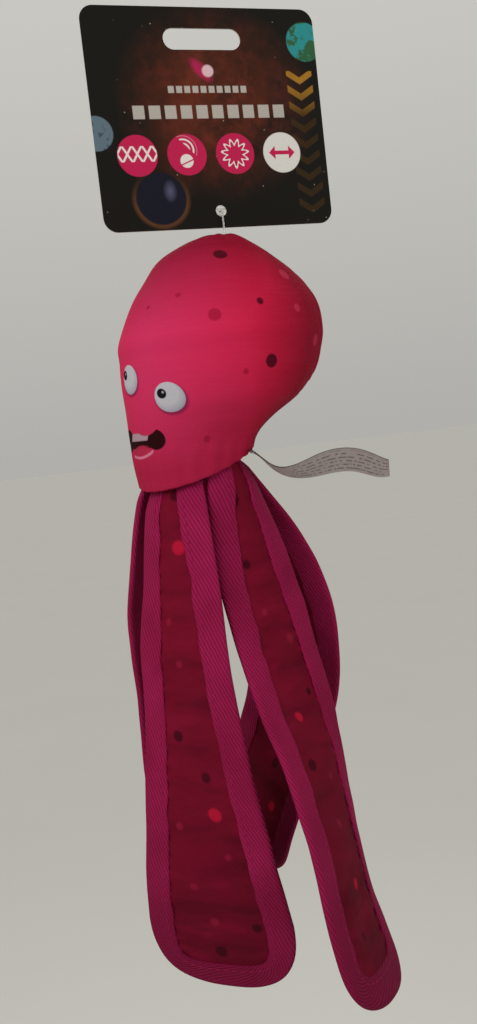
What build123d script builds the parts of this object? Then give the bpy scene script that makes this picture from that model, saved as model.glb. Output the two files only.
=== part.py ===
"""Plush octopus dog toy hanging from its retail card.

Frame: millimetres, +Z up, origin at the centre of the card's hang slot.  The card stands in
the XZ plane with its print towards -Y, so its back (+Y) is the face that rests on a wall.
The toy hangs below on a nylon tag pin and is turned by TURN about the pin.  Inside the toy's
own directions the face looks along -Y and the tentacles are placed by their azimuth from it.
"""
from build123d import *
from math import cos, radians, sin
import os

import numpy as np

# ---- driving dimensions -------------------------------------------------------------------
CARD_W, CARD_TOP, CARD_BOTTOM, CARD_T, CARD_CORNER = 86.0, 11.0, -66.0, 0.6, 5.0
SLOT_LENGTH, SLOT_HEIGHT = 28.6, 7.4
PIN_HOLE_Z, PIN_HOLE_D = -60.0, 4.0
PIN_D, PIN_Y = 0.7, -1.3                   # nylon filament; it hangs just before the card
PADDLE, PADDLE_Y = (7.0, 1.2, 2.2), 1.2    # stop plate of the pin, behind the card
TBAR_LENGTH, TBAR_D, TBAR_Z = 9.5, 1.1, -73.5

TURN = -60.0                               # the face looks 60 degrees to the left of the card's
HEAD_FABRIC = 1.0                          # printed canvas of the head
HEAD_WIDTH_RATIO = 0.85                    # head width over its depth from face to nape
HEAD_MID_Z = -108.0
# height, half depth, and how far the middle of the section leans towards the neck
HEAD_PROFILE = [
    (-68.5, 2.0, 0.2), (-70.0, 8.1, 2.6), (-73.0, 14.9, 5.0), (-78.0, 22.7, 6.0),
    (-85.0, 29.7, 4.4), (-95.0, 36.7, 4.4), (-105.0, 40.0, 6.9), (-112.0, 39.5, 8.1),
    (-120.0, 37.9, 10.4), (-128.0, 33.9, 14.9), (-134.0, 28.9, 21.2), (-140.0, 24.8, 26.6),
    (-146.0, 23.0, 28.7), (-160.0, 20.4, 29.7),
]
LEAN = (-0.267, -0.717)                    # direction of that lean, in the toy's directions
FACE_SEAM_Y = 15.0                         # the seam between face panel and back panel

NECK = (-8.0, -21.5, -150.4)               # centre of the neck opening
NECK_SLOPE = 0.28                          # the opening drops towards the face
RING_R = 17.5                              # radius at which the tentacles are sewn in
HINGE_GAP = 0.9                            # from the head down to the tops of the tentacles
HINGE_OUT = 1.6                            # hinge line, outside the tentacle's middle layer

ARM_LENGTH, ARM_ROOT_W, ARM_END_W, ARM_TIP_R = 183.0, 25.0, 54.0, 26.0
TIP_EXPONENT = 2.7                         # squareness of the rounded end
CURL = 0.3                                 # share of the length over which the curl opens
FLAT_R = 150.0                             # crosswise radius of the lower, flatter part
PANEL_T, FILM_T, LAYER_GAP = 0.5, 0.1, 0.05
TAPE_T, TAPE_WIDTH, TAPE_OVERHANG = 0.52, 10.0, 0.9
# azimuth from the face, then the run of each tentacle at 0, 1/4, 1/2, 3/4 and all of its
# length, in degrees: leaning out, leaning sideways, and twist
TENTACLES = {
    "front_tentacle": (15, (10, 7, 0, -9, -13), (0, 3, 0, -3, -6), (2, 5, 4, -6, -8)),
    "left_tentacle": (105, (5, 12, 20, 16, 33), (2, -4, -12, -13, -7), (2, 23, 4, -11, -9)),
    "back_tentacle": (195, (33, 21, 7, -10, -10), (-2, -10, 8, 23, 14), (0, -4, 9, 25, 13)),
    "right_tentacle": (285, (15, 6, 1, -2, -7), (0, -5, -4, -1, 0), (1, 2, -3, 0, 0)),
}

LABEL_AZIMUTH, LABEL_R, LABEL_LENGTH, LABEL_WIDTH, LABEL_T = 132, 22.6, 51.0, 14.0, 0.4
LABEL_RUN = ((66, 66, 103, 74, 96), (-3, 3, -8, -6, -4), (-6, -10, -32, -35, -25))

SQUEAKER_XY, SQUEAKER_Z = (-2.5, -7.0), -120.0
SQUEAKER_D, SQUEAKER_BASE_H, BELLOWS_H, SQUEAKER_CAP_H = 36.0, 3.0, 15.0, 2.0
REED_D, REED_H = 7.0, 6.0
POCKET_D, POCKET_H = 41.0, 27.0            # the stuffing leaves this space for the squeaker


def turned(point):
    """From the toy's directions to the card's: a turn about the pin's vertical axis."""
    c, s = cos(radians(TURN)), sin(radians(TURN))
    return Vector(point[0] * c - point[1] * s, point[0] * s + point[1] * c, point[2])


# ---- ribbons: tentacles and label --------------------------------------------------------
class Ribbon:
    """A curved, twisted strip.  at(s) gives the frame at arc length s from the seam."""

    def __init__(self, azimuth, start, length, run, samples=240):
        a = radians(azimuth)
        self.out = np.array([sin(a), -cos(a), 0.0])
        self.side = np.array([cos(a), sin(a), 0.0])
        self.length = length
        knots = np.linspace(0.0, 1.0, 5)
        self.curves = [np.polyfit(knots, np.radians(values), 4) for values in run]
        self.step = length / samples
        self.points = [np.array(start, dtype=float)]
        for i in range(samples):
            self.points.append(self.points[-1] + self.heading((i + 0.5) * self.step) * self.step)

    def angles(self, s):
        return [np.polyval(curve, s / self.length) for curve in self.curves]

    def heading(self, s):
        lean, sway, _ = self.angles(s)
        down = np.array([0.0, 0.0, -1.0])
        return cos(sway) * (sin(lean) * self.out + cos(lean) * down) + sin(sway) * self.side

    def at(self, s):
        """Middle point, crosswise direction and outward normal."""
        if s < 0:
            middle = self.points[0] + self.heading(0) * s
        else:
            i = min(int(s / self.step), len(self.points) - 2)
            middle = self.points[i] + (s - i * self.step) * self.heading(s)
        heading, twist = self.heading(max(s, 0)), self.angles(max(s, 0))[2]
        across = self.side - heading * (self.side @ heading)
        across /= np.linalg.norm(across)
        normal = np.cross(heading, across)
        c, s = cos(twist), sin(twist)
        return middle, c * across + s * normal, c * normal - s * across


def section(ribbon, s, half_width, curvature, low, high):
    """Closed wire of the strip's cross-section, between the heights low and high."""
    middle, across, normal = ribbon.at(s)

    def spot(w, height):
        angle = w * curvature
        base = middle + across * sin(angle) / curvature - normal * (1 - cos(angle)) / curvature
        return turned(base + height * (cos(angle) * normal + sin(angle) * across))

    ends = (-half_width, half_width)
    upper = ThreePointArc(spot(ends[0], high), spot(0, high), spot(ends[1], high))
    lower = ThreePointArc(spot(ends[0], low), spot(0, low), spot(ends[1], low))
    sides = [Line(spot(w, low), spot(w, high)) for w in ends]
    return Wire([upper, sides[1], lower, sides[0]])


def arm_curvature(s):
    """Crosswise: round like the neck at the seam, nearly flat once the curl has opened."""
    fade = 1 - min(max(s / (CURL * ARM_LENGTH), 0.0), 1.0)
    return fade ** 1.3 / RING_R + 1 / FLAT_R


def arm_stations(inset):
    """Pairs of arc length and half width; the end is a rounded square, inset on every side."""
    straight = ARM_LENGTH - ARM_TIP_R
    pairs = []
    for s in (-6.0, 0.0, 12.0, 26.0, 42.0, 60.0, 85.0, 110.0, 134.0, straight):
        full = ARM_ROOT_W + (ARM_END_W - ARM_ROOT_W) * max(s / straight, 0.0) ** 0.9
        pairs.append((s, full / 2 - inset))
    for t in (0.30, 0.55, 0.74, 0.87, 0.95, 0.985):
        width = (ARM_END_W / 2 - inset) * (1 - t ** TIP_EXPONENT) ** (1 / TIP_EXPONENT)
        pairs.append((straight + t * (ARM_TIP_R - inset), width))
    return pairs


def arm_layer(ribbon, inset, low, high):
    wires = [section(ribbon, s, w, arm_curvature(s), low, high) for s, w in arm_stations(inset)]
    return Solid.make_loft(wires)


def below_neck(drop):
    """A block whose top is the sloping neck opening, lowered by drop."""
    centre = turned((NECK[0], NECK[1], NECK[2] - drop))
    slope = turned((0, -NECK_SLOPE, 1))
    plane = Plane(origin=centre, z_dir=slope)
    return plane * Pos(0, 0, -150) * Box(300, 300, 300)


def arm_root(azimuth, radius=RING_R):
    a = radians(azimuth)
    y = -cos(a) * radius
    return (NECK[0] + sin(a) * radius, NECK[1] + y, NECK[2] + NECK_SLOPE * y)


def make_tentacle(name, azimuth, lean, sway, twist):
    ribbon = Ribbon(azimuth, arm_root(azimuth), ARM_LENGTH, (lean, sway, twist))
    keep = below_neck(HINGE_GAP)
    film = FILM_T / 2
    skin = film + LAYER_GAP
    core = skin + PANEL_T + LAYER_GAP
    outer = arm_layer(ribbon, TAPE_OVERHANG, skin, skin + PANEL_T)
    inner = arm_layer(ribbon, TAPE_OVERHANG, -skin - PANEL_T, -skin)
    crackle = arm_layer(ribbon, TAPE_OVERHANG + 0.4, -film, film)
    tape = arm_layer(ribbon, 0.0, -core - TAPE_T, core + TAPE_T)
    tape = tape - arm_layer(ribbon, TAPE_OVERHANG - 0.15, -core, core)
    tape = tape - arm_layer(ribbon, TAPE_WIDTH, -6.0, 6.0)
    pieces = {"outer_panel": outer, "inner_panel": inner, "crackle_film": crackle, "edge_binding": tape}
    return {f"{name}_{piece}": solid & keep for piece, solid in pieces.items()}


def make_label():
    """Care label: a doubled woven tape, sewn into the neck seam at the nape."""
    ribbon = Ribbon(LABEL_AZIMUTH, arm_root(LABEL_AZIMUTH, LABEL_R), LABEL_LENGTH, LABEL_RUN)
    stations = [0.0, 8.0, 18.0, 30.0, 44.0, LABEL_LENGTH]
    wires = [section(ribbon, s, LABEL_WIDTH / 2, 0.004, -LABEL_T / 2, LABEL_T / 2) for s in stations]
    return Solid.make_loft(wires)


# ---- head --------------------------------------------------------------------------------
def head_solid(inset):
    """The stuffed head's outer shape, shrunk by inset."""
    wires = []
    for z, depth, lean in HEAD_PROFILE:
        height = HEAD_MID_Z + (z - HEAD_MID_Z) * (1 - inset / 40)
        low_end = z if z < -150 else height
        centre = turned((LEAN[0] * lean, LEAN[1] * lean, low_end))
        half = depth - min(inset, 0.6 * depth)
        plane = Plane(origin=centre, x_dir=turned((0, 1, 0)), z_dir=(0, 0, 1))
        wires.append(plane * Ellipse(half, half * HEAD_WIDTH_RATIO).wire())
    return Solid.make_loft(wires)


def make_head():
    neck_cut = below_neck(0.0)
    filament = Pos(0, PIN_Y, TBAR_Z) * Cylinder(PIN_D / 2 + 0.3, 14)
    shell = head_solid(0.0) - head_solid(HEAD_FABRIC) - neck_cut - filament
    seam = Plane(origin=turned((0, FACE_SEAM_Y, -108)), z_dir=turned((0, 1, 0)))
    back_half = seam * Pos(0, 0, 100.02) * Box(300, 300, 200)
    front_half = seam * Pos(0, 0, -100.02) * Box(300, 300, 200)

    base = (head_solid(HEAD_FABRIC + 0.15) & below_neck(-HEAD_FABRIC)) - below_neck(0.0)
    stuffing = head_solid(HEAD_FABRIC + 0.15) - below_neck(-HEAD_FABRIC - 0.1)
    pocket_z = SQUEAKER_Z - 2 + POCKET_H / 2
    pocket = Pos(*turned((*SQUEAKER_XY, pocket_z))) * Cylinder(POCKET_D / 2, POCKET_H)
    tbar_room = Pos(0, PIN_Y, TBAR_Z) * Cylinder(TBAR_LENGTH / 2 + 0.8, TBAR_D + 1.2)
    stuffing = stuffing - pocket - tbar_room - filament
    return {
        "head_face_panel": shell & front_half,
        "head_back_panel": shell & back_half,
        "neck_base_panel": base,
        "head_stuffing": stuffing,
    }


def make_squeaker():
    """Round squeaker: reed in a rigid base, thin folding wall, flat cap that is pressed."""
    x, y, z = turned((*SQUEAKER_XY, SQUEAKER_Z))
    r = SQUEAKER_D / 2
    floor_z = z + SQUEAKER_BASE_H
    base = Pos(x, y, z + SQUEAKER_BASE_H / 2) * Cylinder(r, SQUEAKER_BASE_H)
    base = base - Pos(x, y, z + SQUEAKER_BASE_H / 2) * Cylinder(REED_D / 2, SQUEAKER_BASE_H)
    reed = Pos(x, y, z + REED_H / 2) * Cylinder(REED_D / 2, REED_H)
    reed = reed - Pos(x, y, z + REED_H / 2) * Box(0.8, 4.0, REED_H)
    folds = 3
    fold_h = BELLOWS_H / folds
    outside = [(r - 0.5, floor_z)]
    for i in range(folds):
        outside.append((r - 2.8, floor_z + (i + 0.5) * fold_h))
        outside.append((r - 0.5, floor_z + (i + 1) * fold_h))
    inside = [(radius - 1.1, height) for radius, height in reversed(outside)]
    wall = Polyline(*[(radius, 0, height) for radius, height in outside + inside], close=True)
    bellows = Pos(x, y, 0) * revolve(make_face(wall), Axis.Z)
    cap_z = floor_z + BELLOWS_H + SQUEAKER_CAP_H / 2
    cap = Pos(x, y, cap_z) * Cylinder(r, SQUEAKER_CAP_H)
    cap = fillet(cap.edges().group_by(Axis.Z)[-1], 0.8)
    return {
        "squeaker_base": base, "squeaker_reed": reed,
        "squeaker_bellows": bellows, "squeaker_cap": cap,
    }


# ---- card and pin ------------------------------------------------------------------------
def make_card():
    height, middle = CARD_TOP - CARD_BOTTOM, (CARD_TOP + CARD_BOTTOM) / 2
    outline = Pos(0, middle) * RectangleRounded(CARD_W, height, CARD_CORNER)
    outline -= SlotOverall(SLOT_LENGTH, SLOT_HEIGHT)
    outline -= Pos(0, PIN_HOLE_Z) * Circle(PIN_HOLE_D / 2)
    return extrude(Plane.XZ * outline, CARD_T / 2, both=True)


def make_pin():
    """Nylon tag pin: stop plate behind the card, filament through the hole, T bar in the head."""
    start = Vector(0, PADDLE_Y, PIN_HOLE_Z)
    path = FilletPolyline(start, (0, PIN_Y, PIN_HOLE_Z), (0, PIN_Y, TBAR_Z), radius=0.8)
    filament = sweep(Plane(origin=start, z_dir=(0, -1, 0)) * Circle(PIN_D / 2), path)
    width, depth, tall = PADDLE
    plate = Pos(0, PADDLE_Y + depth / 2, PIN_HOLE_Z) * Box(width, depth, tall)
    plate = fillet(plate.edges().filter_by(Axis.Y), 0.8)
    bar = Pos(0, PIN_Y, TBAR_Z) * Rot(0, 90, 0) * Cylinder(TBAR_D / 2, TBAR_LENGTH)
    return filament + plate + bar


def main():
    os.makedirs("parts", exist_ok=True)
    parts = {"hang_card": make_card(), "tag_pin": make_pin(), "care_label": make_label()}
    parts.update(make_head())
    parts.update(make_squeaker())
    for name, (azimuth, lean, sway, twist) in TENTACLES.items():
        parts.update(make_tentacle(name, azimuth, lean, sway, twist))
    for name, shape in parts.items():
        export_step(shape, f"parts/{name}.step")
    for name, (azimuth, *_) in TENTACLES.items():
        hinge = turned(arm_root(azimuth, RING_R + HINGE_OUT))
        across = turned((-cos(radians(azimuth)), -sin(radians(azimuth)), 0))
        print(name, "hinge", [round(v, 2) for v in hinge], "outward axis", [round(v, 4) for v in across])
    hinge = turned(arm_root(LABEL_AZIMUTH, LABEL_R))
    print("label hinge", [round(v, 2) for v in hinge])


if __name__ == "__main__":
    main()
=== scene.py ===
"""Looks of the plush octopus: printed canvas head, taped cloth tentacles, label, card and pin.

Lengths are in millimetres until a mesh is made, and metres in Blender.  The toy's own
directions have the face along -Y; turned() carries them to the card's frame.
"""
import math
from functools import reduce
from math import cos, pi, radians, sin

import bmesh
import bpy
import numpy as np
from mathutils import Matrix, Vector, noise


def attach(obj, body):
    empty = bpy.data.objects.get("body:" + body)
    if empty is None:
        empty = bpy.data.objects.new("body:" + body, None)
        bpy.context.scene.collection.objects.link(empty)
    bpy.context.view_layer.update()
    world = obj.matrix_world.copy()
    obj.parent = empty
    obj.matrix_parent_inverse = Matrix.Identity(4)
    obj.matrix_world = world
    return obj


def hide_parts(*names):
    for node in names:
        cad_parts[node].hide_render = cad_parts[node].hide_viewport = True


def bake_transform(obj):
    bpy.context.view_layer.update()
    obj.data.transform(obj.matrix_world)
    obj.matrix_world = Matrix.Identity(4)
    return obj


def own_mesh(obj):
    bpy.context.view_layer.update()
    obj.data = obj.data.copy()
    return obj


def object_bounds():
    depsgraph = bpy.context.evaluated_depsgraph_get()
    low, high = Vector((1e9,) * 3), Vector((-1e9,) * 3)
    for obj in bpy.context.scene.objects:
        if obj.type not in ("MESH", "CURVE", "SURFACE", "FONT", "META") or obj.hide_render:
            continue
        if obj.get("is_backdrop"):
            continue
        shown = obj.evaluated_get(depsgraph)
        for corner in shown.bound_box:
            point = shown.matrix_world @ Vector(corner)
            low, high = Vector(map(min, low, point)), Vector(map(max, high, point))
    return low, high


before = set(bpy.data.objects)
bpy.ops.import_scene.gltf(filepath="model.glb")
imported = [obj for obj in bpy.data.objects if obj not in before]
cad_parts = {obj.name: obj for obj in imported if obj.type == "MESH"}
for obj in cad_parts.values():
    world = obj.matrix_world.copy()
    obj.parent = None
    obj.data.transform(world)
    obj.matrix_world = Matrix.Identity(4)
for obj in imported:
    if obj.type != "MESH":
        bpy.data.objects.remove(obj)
cad_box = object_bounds()
MM, METRE = 0.001, 1000.0                   # a millimetre in metres, a metre in millimetres

# ---- sizes, as in the CAD ---------------------------------------------------------------------
CARD_T = 0.6
TURN = -60.0                                # degrees from the toy's directions to the card's
HEAD_WIDTH_RATIO = 0.85                     # half width over half depth
# height, half depth, and how far the middle has moved along LEAN, from crown to neck
HEAD_PROFILE = [
    (-68.5, 0.0, 0.2), (-70.0, 8.1, 2.6), (-73.0, 14.9, 5.0), (-78.0, 22.7, 6.0),
    (-85.0, 29.7, 4.4), (-95.0, 36.7, 4.4), (-105.0, 40.0, 6.9), (-112.0, 39.5, 8.1),
    (-120.0, 37.9, 10.4), (-128.0, 33.9, 14.9), (-134.0, 28.9, 21.2), (-140.0, 24.8, 26.6),
    (-146.0, 23.0, 28.7), (-160.0, 20.4, 29.7),
]
LEAN = (-0.267, -0.717)
FACE_SEAM_Y = 15.0
NECK = (-8.0, -21.5, -150.4)
NECK_SLOPE = 0.28
RING_R = 17.5
ARM_LENGTH, ARM_ROOT_W, ARM_END_W, ARM_TIP_R = 183.0, 25.0, 54.0, 26.0
TIP_EXPONENT, CURL, FLAT_R = 2.7, 0.3, 150.0
TAPE_WIDTH, TAPE_OVERHANG = 10.0, 0.9
# direction round the neck, then outward lean, sway and twist at five even steps, in degrees
TENTACLES = {
    "front_tentacle": (15, (10, 7, 0, -9, -13), (0, 3, 0, -3, -6), (2, 5, 4, -6, -8)),
    "left_tentacle": (105, (5, 12, 20, 16, 33), (2, -4, -12, -13, -7), (2, 23, 4, -11, -9)),
    "back_tentacle": (195, (33, 21, 7, -10, -10), (-2, -10, 8, 23, 14), (0, -4, 9, 25, 13)),
    "right_tentacle": (285, (15, 6, 1, -2, -7), (0, -5, -4, -1, 0), (1, 2, -3, 0, 0)),
}
BELLOWS_FOOT, BELLOWS_H, BELLOWS_FOLDS = (-2.5, -7.0, -117.0), 15.0, 3
BELLOWS_RIDGE, BELLOWS_DIP, BELLOWS_WALL, PRESS = 17.5, 2.3, 1.1, 5.0
LABEL_AZIMUTH, LABEL_R, LABEL_LENGTH, LABEL_WIDTH = 132, 22.6, 51.0, 14.0
LABEL_SUNK, LABEL_CUP = 1.5, 0.012          # length hidden in the seam, and curvature across
LABEL_RUN = ((66, 66, 103, 74, 96), (-3, 3, -8, -6, -4), (-6, -10, -32, -35, -25))

# ---- colours, as sRGB seen in plain light -----------------------------------------------------
PINK, CRIMSON, DEEP_RED, LOW_RED = (200, 46, 92), (206, 28, 67), (126, 10, 35), (148, 17, 50)
PANEL_RED, PANEL_DARK = (112, 10, 37), (72, 3, 23)
# the last two tape colours are painted shade: towards the tip, and in the twill's valleys
TAPE_PINK, TAPE_DEEP, TAPE_TIP_SHADE, TAPE_VALLEY_SHADE = (162, 27, 80), (138, 18, 63), (102, 10, 44), (78, 6, 36)
BADGE_PINK = (188, 28, 78)


def linear(rgb, alpha=1.0):
    """Blender's linear colour from 0..255 sRGB."""
    values = [c / 255 for c in rgb]
    return [c / 12.92 if c < 0.04045 else ((c + 0.055) / 1.055) ** 2.4 for c in values] + [alpha]


def smoothstep(x, low, high):
    """0 at low, 1 at high, and smooth between."""
    t = np.clip((np.asarray(x, dtype=float) - low) / (high - low), 0, 1)
    return t * t * (3 - 2 * t)


def unit(vectors):
    return vectors / np.linalg.norm(vectors, axis=-1, keepdims=True)


def turned(p):
    """From the toy's directions to the card's; p is (..., 3)."""
    p = np.asarray(p, dtype=float)
    c, s = cos(radians(TURN)), sin(radians(TURN))
    return np.stack([p[..., 0] * c - p[..., 1] * s, p[..., 0] * s + p[..., 1] * c, p[..., 2]], -1)


# ---- shader helpers ---------------------------------------------------------------------------
def feed(tree, socket, item):
    """Links a Value or a socket, or sets a plain value."""
    item = item.source if isinstance(item, Value) else item
    if isinstance(item, bpy.types.NodeSocket):
        tree.links.new(item, socket)
    else:
        socket.default_value = item


class Value:
    """A number or socket in a node tree that can be added, multiplied and compared."""

    def __init__(self, tree, source):
        self.tree, self.source = tree, source

    def op(self, name, *others, clamp=False):
        node = self.tree.nodes.new("ShaderNodeMath")
        node.operation, node.use_clamp = name, clamp
        for socket, item in zip(node.inputs, (self, *others)):
            feed(self.tree, socket, item)
        return Value(self.tree, node.outputs[0])

    def __add__(self, other):
        return self.op("ADD", other)

    def __sub__(self, other):
        return self.op("SUBTRACT", other)

    def __mul__(self, other):
        return self.op("MULTIPLY", other)

    def __pow__(self, other):
        return self.op("POWER", other)

    def __abs__(self):
        return self.op("ABSOLUTE")

    def inside(self, limit, soft):
        """1 where this is below limit, fading to 0 over soft."""
        return ((self - limit) * (-1.0 / soft)).op("ADD", 0.5, clamp=True)

    def outside(self, limit, soft):
        """1 where this is above limit, fading to 0 over soft."""
        return ((self - limit) * (1.0 / soft)).op("ADD", 0.5, clamp=True)

    def clamped(self):
        return self.op("ADD", 0.0, clamp=True)

    def flipped(self):
        """1 becomes 0 and 0 becomes 1."""
        return self * -1.0 + 1.0

    def sine(self, pitch):
        return (self * (2 * pi / pitch)).op("SINE")

    def wave(self, pitch):
        """The sine, moved to 0..1."""
        return self.sine(pitch) * 0.5 + 0.5


def length2(a, b):
    return (a * a + b * b).op("SQRT")


def disc(a, b, centre, radius, soft):
    """1 within a circle, fading to 0 over soft."""
    return length2(a - centre[0], b - centre[1]).inside(radius, soft)


def band(value, half, soft):
    """1 within half of zero, fading to 0 over soft."""
    return abs(value).inside(half, soft)


def largest(masks):
    return reduce(lambda total, mask: total.op("MAXIMUM", mask), masks)


def repeats(value, pitch):
    """Distance from the nearest of evenly spaced lines."""
    return abs((value * (1 / pitch)).op("FRACT") - 0.5) * pitch


def weave(a, b, pitch):
    """Plain weave: threads over and under each other, 0..1."""
    one, two = a.sine(pitch), b.sine(pitch)
    return (one * one + two * two) * 0.3 + a.sine(2 * pitch) * b.sine(2 * pitch) * 0.25 + 0.25


class Paint:
    """One material: its tree, coordinates and Principled shader."""

    def __init__(self, name, roughness=0.8, **inputs):
        self.material = bpy.data.materials.new(name)
        self.material.use_nodes = True
        self.tree = self.material.node_tree
        self.shader = self.tree.nodes["Principled BSDF"]
        self.shader.inputs["Roughness"].default_value = roughness
        for key, value in inputs.items():
            self.shader.inputs[key.replace("_", " ")].default_value = value

    def node(self, kind, **inputs):
        made = self.tree.nodes.new(kind)
        for key, item in inputs.items():
            feed(self.tree, made.inputs[key], item)
        return made

    def axes(self, vector):
        split = self.node("ShaderNodeSeparateXYZ", Vector=vector)
        return [Value(self.tree, out) for out in split.outputs]

    def place(self):
        """Object coordinates, in millimetres, and the vector itself in metres."""
        vector = self.tree.nodes.new("ShaderNodeTexCoord").outputs["Object"]
        return [axis * METRE for axis in self.axes(vector)], vector

    def cut(self):
        """Coordinates on the flat cloth: across and along in millimetres, and their vector."""
        vector = self.node("ShaderNodeUVMap").outputs["UV"]
        across, along, _ = self.axes(vector)
        return across * METRE, along * METRE, vector

    def stretched(self, vector, *scale):
        return self.node("ShaderNodeMapping", Vector=vector, Scale=scale).outputs[0]

    def noise(self, vector, scale, detail=2.0, roughness=0.5):
        made = self.node("ShaderNodeTexNoise", Vector=vector, Scale=scale, Detail=detail,
                         Roughness=roughness)
        return Value(self.tree, made.outputs["Fac"])

    def mix(self, amount, first, second):
        """Colour socket from first at 0 to second at 1; colours are sRGB or sockets."""
        made = self.tree.nodes.new("ShaderNodeMix")
        made.data_type = "RGBA"
        for key, item in ((0, amount), (6, first), (7, second)):
            feed(self.tree, made.inputs[key], linear(item) if isinstance(item, tuple) else item)
        return made.outputs[2]

    def colour(self, amount, first, second):
        """Colours the surface from first to second."""
        self.top = self.mix(amount, first, second)
        self.tree.links.new(self.top, self.shader.inputs["Base Color"])

    def over(self, amount, tint):
        """Lays a tint over the colours so far."""
        self.colour(amount, self.top, tint)

    def bump(self, height, distance, strength=1.0):
        """height is 0..1 and distance is its depth in millimetres."""
        made = self.node("ShaderNodeBump", Height=height, Distance=distance * MM, Strength=strength)
        self.tree.links.new(made.outputs["Normal"], self.shader.inputs["Normal"])


# ---- materials --------------------------------------------------------------------------------
FACE_TILT = 23.0                            # the print's own up leans this far to its left
FACE_CENTRE = (0.2, -122.9)                 # across and height, in the toy's directions
EYES = ((6.8, -0.2, -2.5, 0.5), (-11.3, 0.5, -3.4, 0.5))        # place, and where it looks
EYE_R, PUPIL_R = 4.95, 1.65
MOUTH_SLOPE, MOUTH_LEVEL = 0.41, -17.5
LOBES = ((4.3, -15.7, 3.5), (-10.2, -21.4, 4.0))
# printed spots: angle round the head, height and radius
DARK_SPOTS = ((47, -79.6, 2.4), (74.2, -117.4, 2.3), (65, -97.7, 1.25), (-62, -98, 2.2),
              (150, -90, 2.4), (-140, -104, 2.1), (-100, -122, 1.6), (178, -120, 1.9))
FAINT_SPOTS = ((18, -93, 1.0), (39.2, -101.3, 2.2), (58.5, -120.3, 0.95), (55.4, -140.8, 1.2),
               (0, -95.3, 0.8), (-40, -84, 1.2), (-80, -88, 1.0), (125, -128, 1.2),
               (-120, -86, 1.6), (-170, -96, 1.0))
PALE_SPOTS = ((95.8, -87.9, 2.3), (93.5, -100.1, 1.5), (115.3, -110.7, 2.0), (-90, -108, 1.8),
              (165, -106, 2.0))
WEAVE_PITCH = 0.62
HEAD_ARC_R = 33.0                           # radius that turns an angle into a length of cloth
HEAD_AXIS_Y = -6.0


def spot_place(azimuth, z):
    """Where a spot lies on the head's surface, in metres in the card's frame."""
    heights, depths, leans = zip(*sorted(HEAD_PROFILE))
    depth, lean = np.interp(z, heights, depths), np.interp(z, heights, leans)
    a = math.atan2(sin(radians(azimuth)) / HEAD_WIDTH_RATIO, cos(radians(azimuth)))
    x = LEAN[0] * lean + depth * HEAD_WIDTH_RATIO * sin(a)
    y = LEAN[1] * lean - depth * cos(a)
    return tuple(turned((x, y, z)) * MM)


def head_spots(paint, vector, spots):
    """Masks of round spots, measured in a straight line from their places on the head."""
    for azimuth, z, r in spots:
        far = paint.tree.nodes.new("ShaderNodeVectorMath")
        far.operation = "DISTANCE"
        paint.tree.links.new(vector, far.inputs[0])
        far.inputs[1].default_value = spot_place(azimuth, z)
        yield (Value(paint.tree, far.outputs["Value"]) * METRE).inside(r, 0.55)


def head_canvas():
    """Printed canvas: magenta round the face, crimson on the sides, dark at the crown and nape."""
    paint = Paint("head_canvas", roughness=0.85, Specular_IOR_Level=0.06)
    (x, y, z), vector = paint.place()
    c, s = cos(radians(-TURN)), sin(radians(-TURN))
    toy_x, toy_y = x * c - y * s, x * s + y * c
    azimuth = toy_x.op("ARCTAN2", (toy_y - HEAD_AXIS_Y) * -1.0) * (180 / pi)
    wobble = paint.noise(vector, 28.0) - 0.5
    side = ((abs(azimuth) + wobble * 26.0 - 8.0) * (1 / 62.0)).clamped()
    dark = ((abs(azimuth) + wobble * 20.0 - 54.0) * (1 / 52.0)).clamped()
    top = z.outside(-90.0, 30.0)
    paint.colour(side, PINK, CRIMSON)
    paint.over(dark.op("MAXIMUM", top) * 0.85, DEEP_RED)
    paint.over(z.inside(-138.0, 24.0) * 0.7, LOW_RED)
    for spots, tint, strength in (
        (FAINT_SPOTS, (140, 8, 40), 0.6), (PALE_SPOTS, (226, 74, 108), 0.3),
        (DARK_SPOTS, (66, 3, 20), 0.93)
    ):
        paint.over(largest(head_spots(paint, vector, spots)) * strength, tint)
    threads = weave(azimuth * (HEAD_ARC_R * pi / 180), z, WEAVE_PITCH)
    slubs = paint.noise(paint.stretched(vector, 90, 90, 1700), 1.0, 3.0)
    paint.over((slubs - 0.4) * 0.07, (236, 110, 140))
    face_print(paint, toy_x, toy_y, z)
    paint.bump(threads * 0.6 + slubs * 0.12, 0.1)
    return paint.material


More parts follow.
